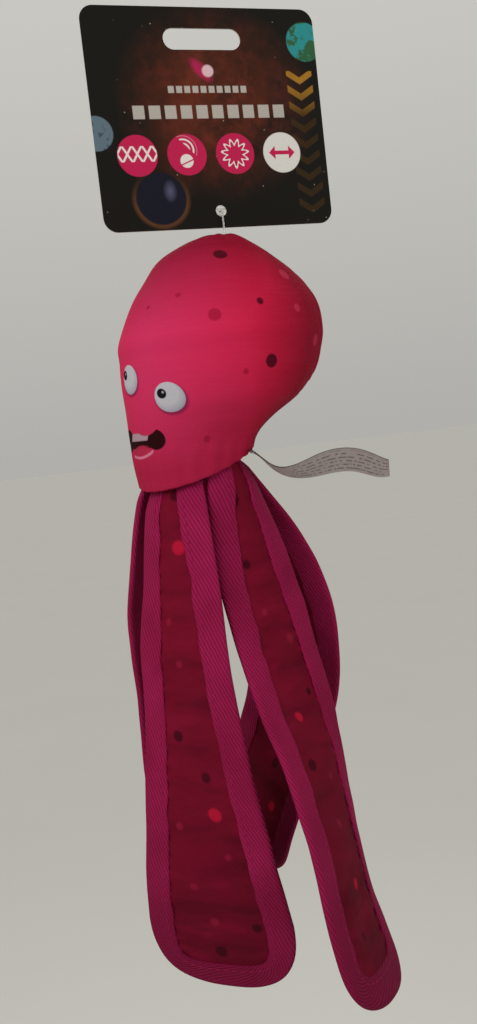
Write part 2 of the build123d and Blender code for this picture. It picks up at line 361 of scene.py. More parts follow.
def face_print(paint, toy_x, toy_y, z):
    """Printed eyes and open mouth, laid out on the tilted plane of the face."""
    c, s = cos(radians(FACE_TILT)), sin(radians(FACE_TILT))
    dx, dz = toy_x - FACE_CENTRE[0], z - FACE_CENTRE[1]
    u, v = dx * c - dz * s, dx * s + dz * c
    front = toy_y.inside(-22.0, 2.0)
    for ex, ey, look_x, look_y in EYES:
        shadow = disc(u, v, (ex + 0.5, ey - 0.5), EYE_R + 0.35, 0.9)
        paint.over(shadow * front * 0.7, (104, 24, 66))
        round_off = disc(u, v, (ex - 1.2, ey + 1.2), EYE_R + 0.6, 3.4)
        shade = paint.mix(round_off, (146, 142, 160), (184, 182, 190))
        paint.over(disc(u, v, (ex, ey), EYE_R, 0.3) * front, shade)
        px, py = ex + look_x, ey + look_y
        paint.over(disc(u, v, (px, py), PUPIL_R, 0.3) * front, (20, 20, 22))
        glint = disc(u, v, (px + 0.35, py + 0.55), 0.42, 0.3)
        paint.over(glint * front, (150, 150, 156))
    level = v - u * MOUTH_SLOPE - MOUTH_LEVEL
    lobes = largest([disc(u, v, (x, y), r, 0.4) for x, y, r in LOBES])
    right, left = LOBES[0][0], LOBES[1][0]
    reach = band(u - (right + left) / 2, (right - left) / 2, 0.4)
    mouth = largest([lobes, band(level, 2.85, 0.4) * reach])
    mouth = mouth * disc(u, v, (-2.4, -9.4), 6.8, 0.4).flipped()     # the upper lip
    paint.over(mouth * front, (40, 7, 11))
    tooth = band(u + 3.4, 4.5, 0.4) * band(level - 1.8, 1.75, 0.4) * mouth
    paint.over(tooth * front, (166, 136, 147))
    tongue = length2((u + 1.2) * 0.5, level + 3.6).inside(1.9, 0.6)
    paint.over(tongue * front * 0.9, (168, 40, 68))
    shine = band(length2(u + 6.0, v + 12.6) - 12.5, 0.42, 0.4)
    shine = shine * band(u + 0.5, 4.7, 0.6) * v.inside(-19.4, 0.5)
    paint.over(shine * front * 0.85, (206, 124, 152))


# printed spots of the two tentacles that face the front, as bright, dark and faint:
# across, along, radius
SPOTS = {
    "front_tentacle": (
        ((3, 21.5, 2.4), (6, 112, 2.5)),
        ((2.5, 3.5, 2.0), (-5.5, 85.5, 2.0), (4.5, 99, 1.9), (-0.5, 167.5, 2.2), (14, 156.5, 1.8)),
        ((-3.5, 46, 1.2), (-1, 60.5, 1.3), (-6, 140, 1.5), (-1, 154.5, 1.6), (8, 128, 1.2),
         (-9, 118, 1.4)),
    ),
    "left_tentacle": (
        ((-3, 91.5, 1.7), (1.5, 147.5, 1.8)),
        ((-4.5, 13.5, 2.4), (-4.5, 36.5, 1.6), (7.5, 84, 1.3), (-7.5, 108, 2.0), (-6, 162, 1.4)),
        ((5, 65, 1.8), (-1, 128, 1.6), (4, 113, 1.1), (-3, 54, 1.2)),
    ),
}


def scatter_spots(seed):
    """Spots for a tentacle that the photo does not show, in the same three groups."""
    rng = np.random.default_rng(seed)
    bright, dark, faint = [], [], []
    for i, s in enumerate(np.arange(14, 176, 14.0)):
        w = rng.uniform(-1, 1) * (3.5 + 10.0 * s / 180)
        group = (dark, bright, faint)[int(rng.integers(0, 3)) if i % 4 else 0]
        group.append((float(w), float(s + rng.uniform(-3, 3)), float(rng.uniform(1.2, 2.4))))
    return bright, dark, faint


def panel_cloth(name, seed, spots=None):
    """Printed canvas of a tentacle: dark crimson with round spots."""
    paint = Paint(name, roughness=0.85, Specular_IOR_Level=0.05)
    across, along, vector = paint.cut()
    shade = paint.noise(vector, 22.0, 2.0)
    # darker towards the tips: partly the print, partly painted shade where the light falls off
    tip_print_and_shade = along.outside(128.0, 90.0)
    paint.colour((shade - 0.3) * 0.7 + tip_print_and_shade * 0.45, PANEL_RED, PANEL_DARK)
    folds = paint.noise(paint.stretched(vector, 32, 105, 1), 1.0, 2.0)
    # painted shade along the folds
    paint.over(folds.outside(0.6, 0.16) * 0.45, (54, 2, 16))
    # painted highlight on the cloth between the folds
    paint.over(folds.inside(0.38, 0.14) * 0.3, (142, 17, 52))
    bright, dark, faint = spots or scatter_spots(seed)
    for group, tint, strength in (
        (dark, (40, 2, 15), 0.85), (bright, (180, 18, 50), 0.85), (faint, (146, 28, 58), 0.5)
    ):
        if group:
            spots = [disc(across, along, (x, y), r, 0.9) for x, y, r in group]
            paint.over(largest(spots) * strength, tint)
    threads = weave(across, along, WEAVE_PITCH)
    paint.over(threads * 0.08, (180, 50, 76))
    creases = paint.noise(vector, 95.0, 3.0, 0.6)
    paint.bump(threads * 0.08 + creases * 0.5 + folds * 0.9, 1.0)
    return paint.material


TAPE_RUN = 2 * ARM_LENGTH + 20.0           # round the edge, from neck to neck


def twill_tape():
    """Twill: steep diagonal ridges, with painted shade in the valleys between and a painted
    highlight on the ridge tops.
    """
    paint = Paint("twill_tape", roughness=0.8, Specular_IOR_Level=0.06)
    across, along, vector = paint.cut()
    wander = (paint.noise(vector, 90.0) - 0.5) * 0.9
    ridge = (across * 0.91 + along * 0.41 + wander).wave(1.2) ** 0.7
    strand = (along * 0.9 - across * 0.35).wave(0.7)
    tone = paint.noise(vector, 30.0, 3.0)
    paint.colour(tone.outside(0.5, 0.3), TAPE_PINK, TAPE_DEEP)
    # painted shade: the tape darkens towards the tentacle's tip, half way round its run
    tip = band(along - TAPE_RUN / 2, 46.0, 70.0)
    paint.over(tip * 0.75, TAPE_TIP_SHADE)
    # painted shade in the valleys between the ridges
    paint.over(ridge.flipped() * 0.45, TAPE_VALLEY_SHADE)
    # painted highlight along the strands on the ridge tops
    paint.over(strand * ridge * 0.14, (186, 58, 108))
    paint.bump(ridge * 0.8 + strand * 0.25, 0.28)
    return paint.material


def thread():
    paint = Paint("stitch_thread", roughness=0.7, Specular_IOR_Level=0.1)
    (x, y, z), _ = paint.place()
    twist = (x + y + z).wave(0.4)
    paint.colour(twist * 0.6, (156, 25, 77), (120, 14, 56))
    paint.bump(twist, 0.06)
    return paint.material


def film():
    paint = Paint("crackle_film", roughness=0.25)
    _, _, vector = paint.cut()
    crease = paint.noise(vector, 120.0, 4.0, 0.7)
    paint.colour(crease, (196, 198, 202), (232, 234, 236))
    paint.bump(crease, 0.3)
    return paint.material


def filling():
    paint = Paint("fibre_fill", roughness=0.95, Sheen_Weight=0.4)
    _, vector = paint.place()
    fibre = paint.noise(vector, 300.0, 5.0, 0.75)
    paint.colour(fibre, (232, 231, 226), (206, 204, 198))
    paint.bump(fibre, 0.8)
    return paint.material


def label_cloth():
    """Satin label tape: ribbed weave, and rows of plain grey dashes in place of print."""
    paint = Paint("label_satin", roughness=0.5, Specular_IOR_Level=0.3)
    across, along, vector = paint.cut()
    soil = paint.noise(vector, 60.0, 3.0)
    paint.colour(soil * 0.5, (190, 180, 177), (160, 147, 147))
    row = across.sine(2.2).outside(0.35, 0.25)
    word = paint.noise(paint.stretched(vector, 454.5, 900, 1), 1.0, 0.0).outside(0.46, 0.06)
    printed = along.outside(17.0, 0.5) * along.inside(55.0, 0.5) * band(across, 5.9, 0.3)
    paint.over(row * word * printed * 0.62, (70, 64, 72))
    paint.bump(along.wave(0.45), 0.05)
    return paint.material


def plain(name, colour, second, scale, roughness, depth=0.05, **inputs):
    """Moulded or extruded plastic: two close shades and a fine grain."""
    paint = Paint(name, roughness=roughness, **inputs)
    _, vector = paint.place()
    grain = paint.noise(vector, scale, 3.0)
    paint.colour(grain, colour, second)
    paint.bump(grain, depth)
    return paint.material


# printed things on the card; discs as centre and radius
CHEVRON_X, CHEVRON_HALF, CHEVRON_PITCH = 35.6, 5.0, 5.8
CHEVRON_TOP, CHEVRON_END = -11.0, -62.0
BLOCK_ROWS = ((-25.2, 10, 5.8, 2.3), (-17.4, 10, 3.0, 1.2))     # height, count, pitch, half height
BADGE_X, BADGE_Z, BADGE_R = (-28.3, -10.3, 7.7, 25.7), -40.0, 7.2
PLANET, MOON, COMET = ((39.0, -0.6), 7.0), ((-42.0, -32.2), 6.0), ((0.8, -11.0), 2.1)
BALL, BALL_R = (-21.5, -55.0), 9.0


def badge_marks(x, z):
    """Plain signs: crossed stitches, a ball that makes a sound, and a burst."""
    b = z - BADGE_Z
    a = x - BADGE_X[0]
    rise = abs(b - 0.6)
    cross = band(repeats(a, 3.6) * -1.0 + 1.8 - rise * 0.62, 0.42, 0.25)
    cross = cross * rise.inside(2.7, 0.2) * band(a, 7.0, 0.2)
    a = x - BADGE_X[1]
    ball = disc(a, b, (-0.3, -2.2), 2.4, 0.25) * band(b + 2.6 - a * 0.4, 0.25, 0.2).flipped()
    far = length2(a + 1.2, b - 1.6)
    waves = repeats(far, 1.5).inside(0.3, 0.25) * far.inside(5.0, 0.3)
    waves = waves * (a + b - 3.0).outside(0.0, 0.4)
    a = x - BADGE_X[2]
    spikes = (b.op("ARCTAN2", a) * 11.0).op("SINE") * 0.9
    return largest([cross, ball, waves, band(length2(a, b) - spikes - 4.0, 0.45, 0.25)])


def size_arrow(x, z):
    """Two-headed arrow."""
    a, b = x - BADGE_X[3], z - BADGE_Z
    shaft = band(b, 0.7, 0.2) * band(a, 3.2, 0.2)
    heads = (abs(b) + abs(a) - 5.0).inside(0.0, 0.3) * abs(a).outside(2.6, 0.2)
    return largest([shaft, heads])


def card_print():
    """Laminated card: near-black print with a warm cloud, planets, badges and chevrons."""
    paint = Paint("card_print", roughness=0.5, Specular_IOR_Level=0.12)
    (x, y, z), vector = paint.place()
    cloud = paint.noise(vector, 42.0, 5.0, 0.62)
    dust = paint.noise(vector, 120.0, 4.0, 0.7)
    glow = length2((x - 3.0) * 0.9, (z + 22.0) * 0.95).inside(17.0, 34.0)
    paint.colour(glow * cloud.outside(0.48, 0.34) * 0.95, (20, 17, 12), (108, 44, 24))
    paint.over(glow * dust.outside(0.56, 0.2) * 0.5, (132, 52, 40))
    stars = paint.node("ShaderNodeTexVoronoi", Vector=vector, Scale=230.0).outputs["Distance"]
    stars = Value(paint.tree, stars).inside(0.05, 0.05)
    paint.over(stars * 0.5, (190, 180, 160))
    land = paint.mix(dust.outside(0.5, 0.05), (44, 138, 140), (48, 92, 60))
    paint.over(disc(x, z, *PLANET, 0.4), land)
    craters = paint.noise(vector, 300.0, 1.0).inside(0.4, 0.08)
    craters = paint.mix(craters, (92, 110, 122), (58, 72, 84))
    paint.over(disc(x, z, *MOON, 0.4), craters)
    tail = length2((x + z + 12.4) * 0.8, (x - z - 9.0) * 0.34).inside(2.2, 1.6)
    paint.over(tail * dust.outside(0.4, 0.3), (170, 30, 78))
    paint.over(disc(x, z, *COMET, 0.6), (214, 178, 184))
    beside = abs(x - CHEVRON_X)
    stripe = repeats(z - beside * 0.62, CHEVRON_PITCH).inside(1.25, 0.3)
    stripe = stripe * beside.inside(CHEVRON_HALF, 0.25)
    stripe = stripe * z.inside(CHEVRON_TOP, 0.4) * z.outside(CHEVRON_END, 0.4)
    bright = z.outside(-21.0, 14.0) * 0.8 + 0.06
    gold = paint.mix(dust, (196, 142, 44), (138, 90, 30))
    paint.over(stripe * bright, gold)
    for row_z, count, pitch, half in BLOCK_ROWS:
        blocks = repeats(x, pitch).inside(pitch * 0.36, 0.25) * band(z - row_z, half, 0.25)
        blocks = blocks * band(x, count * pitch / 2, 0.2)
        paint.over(blocks * 0.8, (190, 184, 176))
    rim = length2(x - BALL[0], z - BALL[1]) - (BALL_R + 0.6)
    rim = band(rim, 0.7, 1.4) * z.inside(-52.0, 12.0)
    paint.over(rim * 0.3, (156, 96, 58))
    paint.over(disc(x, z, BALL, BALL_R, 0.5), (20, 20, 34))
    glare = length2((x + 18.0) * 1.6, z + 52.5).inside(2.0, 4.5)
    paint.over(glare * 0.6, (110, 108, 142))
    for index, badge_x in enumerate(BADGE_X):
        tint = BADGE_PINK if index < 3 else (214, 211, 206)
        paint.over(disc(x, z, (badge_x, BADGE_Z), BADGE_R, 0.3), tint)
    paint.over(badge_marks(x, z), (224, 218, 214))
    paint.over(size_arrow(x, z), BADGE_PINK)
    board = paint.mix(paint.noise(vector, 500.0, 2.0), (176, 172, 162), (198, 195, 186))
    printed = y.inside(-CARD_T / 2 + 0.08, 0.04)          # only the front carries the print
    paint.colour(printed, board, paint.top)
    paint.bump(paint.noise(vector, 900.0, 2.0), 0.02)
    return paint.material


# ---- mesh helpers -----------------------------------------------------------------------------
def link(name, data):
    made = bpy.data.objects.new(name, data)
    bpy.context.collection.objects.link(made)
    return made


def add_mesh(name, verts, faces, material):
    """Smooth-shaded object from places in metres."""
    mesh = bpy.data.meshes.new(name)
    mesh.from_pydata(verts, [], faces)
    mesh.materials.append(material)
    mesh.shade_smooth()
    return link(name, mesh)


def grid_mesh(name, points, material, uv=None, loop_v=False, loop_u=False):
    """Mesh of a grid of points in millimetres, (rows, columns, 3), in the card's frame."""
    rows, cols = points.shape[:2]
    faces = []
    for i in range(rows if loop_u else rows - 1):
        for j in range(cols if loop_v else cols - 1):
            i2, j2 = (i + 1) % rows, (j + 1) % cols
            faces.append((i * cols + j, i2 * cols + j, i2 * cols + j2, i * cols + j2))
    made = add_mesh(name, (points.reshape(-1, 3) * MM).tolist(), faces, material)
    if uv is not None:
        mesh = made.data
        index = np.empty(len(mesh.loops), dtype=np.int32)
        mesh.loops.foreach_get("vertex_index", index)
        flat = (uv.reshape(-1, 2) * MM)[index]
        mesh.uv_layers.new(name="cut").data.foreach_set("uv", flat.astype(np.float32).ravel())
    return made


def thread_mesh(name, rings, material, capped=False):
    """Lengths of thread in millimetres: (stitches, rings along each, points round, 3)."""
    stitches, along, around = rings.shape[:3]
    faces = []
    for first in range(0, stitches * along * around, along * around):
        for p in range(first, first + (along - 1) * around, around):
            for a in range(around):
                b = (a + 1) % around
                faces.append((p + a, p + b, p + around + b, p + around + a))
        if capped:
            last = first + (along - 1) * around
            faces.append(tuple(first + a for a in reversed(range(around))))
            faces.append(tuple(last + a for a in range(around)))
    return add_mesh(name, (rings.reshape(-1, 3) * MM).tolist(), faces, material)


def run_along(*axes):
    """Length run from the start of a line, at each of its points."""
    steps = np.sqrt(sum(np.diff(axis) ** 2 for axis in axes))
    return np.concatenate([[0], np.cumsum(steps)])


def ripple(seed, u, v, size, amount):
    """Smooth unevenness over the cloth, the same each run."""
    flat = np.stack([np.ravel(u), np.ravel(v)], -1) / size
    values = [noise.noise(Vector((a, b, seed * 7.31))) for a, b in flat]
    return amount * np.array(values).reshape(np.shape(u))


# ---- tentacles --------------------------------------------------------------------------------
class Ribbon:
    """The curved, twisted middle layer of a tentacle or label."""

    def __init__(self, azimuth, radius, length, run, samples=240):
        a = radians(azimuth)
        self.out, self.side = np.array([sin(a), -cos(a), 0.0]), np.array([cos(a), sin(a), 0.0])
        y = -cos(a) * radius
        start = np.array([NECK[0] + sin(a) * radius, NECK[1] + y, NECK[2] + NECK_SLOPE * y])
        knots = np.linspace(0, 1, 5)
        self.curves = [np.polyfit(knots, np.radians(values), 4) for values in run]
        self.length = length
        self.s = np.linspace(0, length, samples + 1)
        middle = (self.s[1:] + self.s[:-1]) / 2
        steps = self.heading(middle) * (length / samples)
        self.points = np.vstack([start, start + np.cumsum(steps, 0)])

    def angles(self, s):
        return [np.polyval(curve, np.clip(s, 0, None) / self.length) for curve in self.curves]

    def heading(self, s):
        lean, sway, _ = self.angles(s)
        down = np.array([0.0, 0.0, -1.0])
        forward = np.sin(lean)[..., None] * self.out + np.cos(lean)[..., None] * down
        return np.cos(sway)[..., None] * forward + np.sin(sway)[..., None] * self.side

    def spot(self, s, w, height, curvature):
        """Points at arc length s, crosswise w and height along the outward normal."""
        s, w = np.broadcast_arrays(np.asarray(s, dtype=float), np.asarray(w, dtype=float))
        middle = np.stack([np.interp(s, self.s, self.points[:, k]) for k in range(3)], -1)
        heading = self.heading(s)
        middle = middle + heading * np.clip(s, None, 0)[..., None]
        across = unit(self.side - heading * (heading @ self.side)[..., None])
        normal = np.cross(heading, across)
        twist = self.angles(s)[2]
        c, t = np.cos(twist)[..., None], np.sin(twist)[..., None]
        across, normal = c * across + t * normal, c * normal - t * across
        angle = w * curvature
        base = middle + across * (np.sin(angle) / curvature)[..., None]
        base = base - normal * ((1 - np.cos(angle)) / curvature)[..., None]
        up = np.cos(angle)[..., None] * normal + np.sin(angle)[..., None] * across
        return turned(base + np.asarray(height)[..., None] * up)

    def blend(self, piece, body, reach, curvature):
        """Bakes the piece's placement into its mesh; the middle points at root and reach are worked
        out but not used.
        """
        start, end = (tuple(Vector(self.spot(s, 0.0, np.array(0.0), curvature(s)) * MM))
                      for s in (0.0, reach))
        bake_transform(piece)
        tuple(start)
        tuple(end)


def arm_curvature(s):
    """Curvature across a tentacle: round where it leaves the neck, nearly flat lower down."""
    fade = 1 - np.clip(np.asarray(s) / (CURL * ARM_LENGTH), 0, 1)
    return fade ** 1.3 / RING_R + 1 / FLAT_R


ARM_STRAIGHT = ARM_LENGTH - ARM_TIP_R      # where the rounded end starts
ROUNDS_FROM = 160.0                         # beyond this the distance to the edge is not followed
PANEL_UP, TAPE_UP = 0.42, 1.2               # heights over the middle of the film
EDGE_POINTS = 150
STITCH_INSET, STITCH_PITCH, STITCH_LONG, THREAD_R = 7.9, 3.1, 2.3, 0.2
ROUND = [(cos(a), sin(a)) for a in np.linspace(0, 2 * pi, 7)[:-1]]      # points round a thread


def half_width(s, inset):
    """Half width down to where the rounded end starts."""
    full = ARM_ROOT_W + (ARM_END_W - ARM_ROOT_W) * np.clip(s / ARM_STRAIGHT, 0, 1) ** 0.9
    return full / 2 - inset


def arm_grid(inset, rows, columns, top):
    """Arc length and crosswise place over a panel, with its rounded end."""
    body = np.linspace(top, ARM_STRAIGHT, rows, endpoint=False)
    t = np.sin(np.linspace(0, pi / 2 * 0.985, rows // 5))
    s = np.concatenate([body, ARM_STRAIGHT + t * (ARM_TIP_R - inset)])
    tip = half_width(ARM_STRAIGHT, inset) * (1 - t ** TIP_EXPONENT) ** (1 / TIP_EXPONENT)
    wide = np.concatenate([half_width(body, inset), tip])
    share = np.sin(np.linspace(-pi / 2, pi / 2, columns))
    return np.repeat(s[:, None], columns, 1), wide[:, None] * share[None, :]


def arm_outline(count):
    """The U-shaped edge: a function of inset that gives arc length and crosswise place."""
    side = np.linspace(-1.2, ARM_STRAIGHT, count, endpoint=False)
    angle = np.linspace(-pi / 2, pi / 2, count // 3)

    def at(inset):
        wide, long = half_width(ARM_STRAIGHT, inset), ARM_TIP_R - inset
        square = TIP_EXPONENT + 0.22 * inset
        tip_w = wide * np.sign(np.sin(angle)) * np.abs(np.sin(angle)) ** (2 / square)
        tip_s = ARM_STRAIGHT + long * np.abs(np.cos(angle)) ** (2 / square)
        left, right = -half_width(side, inset), half_width(side[::-1], inset)
        return np.concatenate([side, tip_s, side[::-1]]), np.concatenate([left, tip_w, right])

    return at


def arm_sway(seed, s, w):
    """How far the whole sandwich of cloth waves out of its smooth shape."""
    free = smoothstep(s, 6, 40)
    edge = np.abs(w) / 20
    wave = ripple(seed, s, w, 26.0, 1.1) + ripple(seed + 3, s, w, 11.0, 0.35) * edge
    return np.clip(wave, -0.75, 0.75) * free


def seam_pinch(s):
    """The layers close up and step inwards where they go into the neck seam."""
    return 0.45 + 0.55 * smoothstep(s, -1, 9), -0.9 * (1 - smoothstep(s, -1, 9))


def arm_points(ribbon, seed, s, w, height):
    squeeze, shift = seam_pinch(s)
    return ribbon.spot(s, w, height * squeeze + shift + arm_sway(seed, s, w), arm_curvature(s))


def puffed(seed, side, s, w):
    """Height of a cloth over its film: loose between the tapes, drawn in by the stitches."""
    to_edge = half_width(np.minimum(s, ROUNDS_FROM), 0) - np.abs(w)
    room = smoothstep(to_edge, TAPE_WIDTH - 2, TAPE_WIDTH + 5)
    room = room * smoothstep(ARM_LENGTH - s, TAPE_WIDTH - 2, TAPE_WIDTH + 8)
    drawn = 0.35 * np.sin(s * 0.83 + 2.2 * np.sin(s * 0.19) + seed) * (1 - room)
    drawn = drawn * smoothstep(s, 5, 20) * smoothstep(to_edge, 8.6, 10.5)
    creases = ripple(seed + 11 * side, s, w * 0.55, 8.0, 0.9) + ripple(seed + 5, s, w, 19.0, 1.1)
    return side * (PANEL_UP + np.clip(room * (0.35 + creases) + drawn, -0.3, 1.5))


def make_panel(arm, ribbon, seed, side, material):
    """One printed cloth layer: its object, arc lengths and crosswise places."""
    s, w = arm_grid(TAPE_OVERHANG + 0.3, 150, 34, -1.0)
    points = arm_points(ribbon, seed, s, w, puffed(seed, side, s, w))
    name = f"{arm}_{'outer' if side > 0 else 'inner'}_cloth"
    return grid_mesh(name, points, material, uv=np.stack([w, s], -1)), s, w


def make_film(arm, ribbon, seed, material):
    """The crackling film between the cloths: its object, arc lengths and crosswise places."""
    s, w = arm_grid(TAPE_OVERHANG + 1.5, 60, 12, 3.0)
    points = arm_points(ribbon, seed, s, w, np.zeros_like(s))
    return grid_mesh(f"{arm}_film", points, material, uv=np.stack([w, s], -1)), s, w


def make_tape(arm, ribbon, seed, material):
    """Folded binding tape: a C-shaped section carried round the tentacle's edge."""
    at = arm_outline(EDGE_POINTS)
    section = [(TAPE_WIDTH, 0.55), (TAPE_WIDTH + 0.05, 0.9), (TAPE_WIDTH - 0.35, TAPE_UP + 0.02)]
    section += [(inset, TAPE_UP + 0.05 * sin(inset)) for inset in (8.2, 6.2, 4.2, 2.6, 1.4)]
    section += [(0.55, TAPE_UP - 0.22), (0.14, TAPE_UP - 0.62), (0.0, 0.0)]
    section += [(inset, -height) for inset, height in reversed(section[:-1])]
    run = run_along(*at(0.0))
    travel = run_along(*np.transpose(section))
    wavy = ripple(seed + 21, run, np.zeros_like(run), 8.0, 1.0)
    lines, uvs = [], []
    for (inset, height), across in zip(section, travel):
        s, w = at(inset)
        w = w - np.sign(w) * np.minimum(np.abs(w), wavy * smoothstep(inset, 4.0, 10.0))
        lines.append(arm_points(ribbon, seed, s, w, np.full_like(s, height)))
        uvs.append(np.stack([np.full_like(run, across), run], -1))
    made = grid_mesh(f"{arm}_tape", np.stack(lines), material, uv=np.stack(uvs))
    smooth = made.modifiers.new("smooth", "SUBSURF")
    smooth.levels = smooth.render_levels = 1
    return made


def make_stitches(arm, ribbon, seed, material):
    """Lockstitch along the tape's inner edge on both faces: short sunk lengths of thread."""
    s_line, w_line = arm_outline(EDGE_POINTS)(STITCH_INSET)
    run = run_along(s_line, w_line)
    starts = np.arange(2.0, run[-1] - 2.0 - STITCH_LONG, STITCH_PITCH)
    along = np.array([-0.5, -0.36, -0.12, 0.12, 0.36, 0.5])
    girth = np.array([0.15, 0.8, 1.0, 1.0, 0.8, 0.15])
    centre = starts[:, None] + STITCH_LONG / 2 + along[None, :] * STITCH_LONG

    def points(place, height):
        s, w = np.interp(place, run, s_line), np.interp(place, run, w_line)
        return arm_points(ribbon, seed, s, w, np.full_like(s, height))

    both = []
    for side in (1, -1):
        height = side * (TAPE_UP + 0.02)
        base = points(centre, height)
        ahead = unit(points(centre + 0.2, height) - base)
        above = unit(points(centre, height + side) - base)
        beside = np.cross(ahead, above)
        ring = [(beside * a + above * b * 0.8) * THREAD_R for a, b in ROUND]
        both.append(base[:, :, None] + np.stack(ring, 2) * girth[:, None, None])
    return thread_mesh(f"{arm}_stitches", np.concatenate(both), material, capped=True)


def flat_size(s, w):
    """Width and length of a flat piece, and its area, in metres."""
    span = w.max(axis=1) - w.min(axis=1)
    area = float(np.sum((span[1:] + span[:-1]) / 2 * np.diff(s[:, 0])))
    return (float(span.max()) * MM, float(s.max() - s.min()) * MM), area * MM * MM


def make_tentacle(index, arm, azimuth, run, tape, thread_material, film_material):
    ribbon = Ribbon(azimuth, RING_R, ARM_LENGTH, run)
    seed = index * 13 + 5
    cloth = panel_cloth(f"{arm}_canvas", seed + 40, SPOTS.get(arm))
    outer, s, w = make_panel(arm, ribbon, seed, 1, cloth)
    inner, _, _ = make_panel(arm, ribbon, seed, -1, cloth)
    film_piece, film_s, film_w = make_film(arm, ribbon, seed, film_material)
    tape_piece = make_tape(arm, ribbon, seed, tape)
    stitches = make_stitches(arm, ribbon, seed, thread_material)
    for piece, slot, node in (
        (outer, "canvas_crimson", "outer_panel"), (inner, "canvas_crimson", "inner_panel"),
        (film_piece, "crackle_film", "crackle_film"), (tape_piece, "twill_tape", "edge_binding"),
        (stitches, "twill_tape", None)
    ):
        if node:
            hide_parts(f"{arm}_{node}")
        ribbon.blend(piece, arm, 26.0, arm_curvature)
    flat, area = flat_size(s, w)
    flat, area = flat_size(film_s, film_w)


# ---- head -------------------------------------------------------------------------------------
def spline(values, t):
    """Catmull-Rom through values, at the places t in 0..len-1."""
    values = np.asarray(values, dtype=float)
    i = np.clip(t.astype(int), 0, len(values) - 2)
    f = t - i
    padded = np.concatenate([[2 * values[0] - values[1]], values, [2 * values[-1] - values[-2]]])
    p0, p1, p2, p3 = (padded[i + k] for k in range(4))
    return 0.5 * (2 * p1 + (p2 - p0) * f + (2 * p0 - 5 * p1 + 4 * p2 - p3) * f ** 2
                  + (3 * p1 - p0 - 3 * p2 + p3) * f ** 3)


def head_section(t):
    """Height, half depth and lean at t along the profile."""
    z, depth, lean = (spline([row[k] for row in HEAD_PROFILE], t) for k in range(3))
    return z, depth, lean


def neck_reach(angle):
    """How far down the profile the surface meets the sloping neck opening, per angle."""
    t, a = np.meshgrid(np.linspace(9, 13, 161), np.ravel(angle), indexing="ij")
    z, depth, lean = head_section(t)
    y = LEAN[1] * lean - depth * np.cos(a)
    above = z - (NECK[2] + NECK_SLOPE * (y - NECK[1]))
    row = np.argmax(above < 0, axis=0)
    column = np.arange(a.shape[1])
    high, low = above[row - 1, column], above[row, column]
    reach = t[row - 1, 0] + (t[1, 0] - t[0, 0]) * high / (high - low)
    return reach.reshape(np.shape(angle))


def head_surface(t, angle, inset=0.0):
    """Toy-frame points; angle 0 faces forwards and t runs from crown (0) to neck (13)."""
    reach = neck_reach(angle[0])[None, :]
    t = np.where(t < 8, t, 8 + (t - 8) * (reach - 8) / 5)
    z, depth, lean = head_section(t)
    radial = np.maximum(depth - inset, 0.0)
    x = LEAN[0] * lean + radial * HEAD_WIDTH_RATIO * np.sin(angle)
    y = LEAN[1] * lean - radial * np.cos(angle)
    return np.stack([x, y, z - inset * smoothstep(depth, 26, 2)], -1)


def head_normals(points):
    """Directions out of the head at each point of its grid."""
    normal = np.cross(np.gradient(points, axis=0), np.gradient(points, axis=1))
    size = np.linalg.norm(normal, axis=-1, keepdims=True)
    return normal / np.maximum(size, 1e-9)


def head_relief(points, t, angle):
    """Stuffing lumps, gathers at the crown and neck, and the groove along the seam."""
    flat = points.reshape(-1, 3)
    large = [noise.noise(Vector(p / 21.0)) for p in flat]
    small = [noise.noise(Vector(p / 9.0) + Vector((5, 1, 2))) for p in flat]
    lumps = (np.array(large) + 0.45 * np.array(small)).reshape(t.shape)
    crown = smoothstep(t, 3.2, 0.4) * smoothstep(t, 0.0, 0.8)
    pleats = np.sin(angle * 9 + 1.3 * np.sin(angle * 2)) * 0.28
    neck = smoothstep(t, 11.2, 13.0)
    gathers = np.sin(angle * 23 + 2.0 * np.sin(angle * 3)) * 0.22
    seam = np.abs(points[..., 1] - FACE_SEAM_Y)
    groove = -0.6 * np.exp(-(seam / 0.8) ** 2)
    x, z = points[..., 0], points[..., 2]
    puckers = 0.12 * np.sin(z * 1.55 + x * 1.2) * np.exp(-(seam / 3.0) ** 2)
    temple = 0.7 * np.exp(-((z + 91.0) / 9.0) ** 2) * np.clip(np.cos(angle + 0.83), 0, 1)
    return 0.4 * lumps + crown * pleats + neck * gathers + groove + puckers + temple


def head_grid(rings, columns):
    """Places along the profile and angles round the head, for rings and columns of points."""
    crown = np.linspace(0.02, 1, rings // 8, endpoint=False)
    t = np.concatenate([crown, np.linspace(1, 13, rings)])
    angle = np.linspace(-pi, pi, columns, endpoint=False)
    return np.meshgrid(t, angle, indexing="ij")


def on_head(piece, slot, *nodes):
    """The piece moves with the head and stands for these CAD nodes."""
    if nodes:
        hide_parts(*nodes)
    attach(piece, "head")


HEAD_GRID = (150, 260)
HEM = ((0.15, 0.35), (0.55, 0.55), (1.0, 0.45), (1.35, 0.0), (1.5, -1.5), (1.6, -4.0))


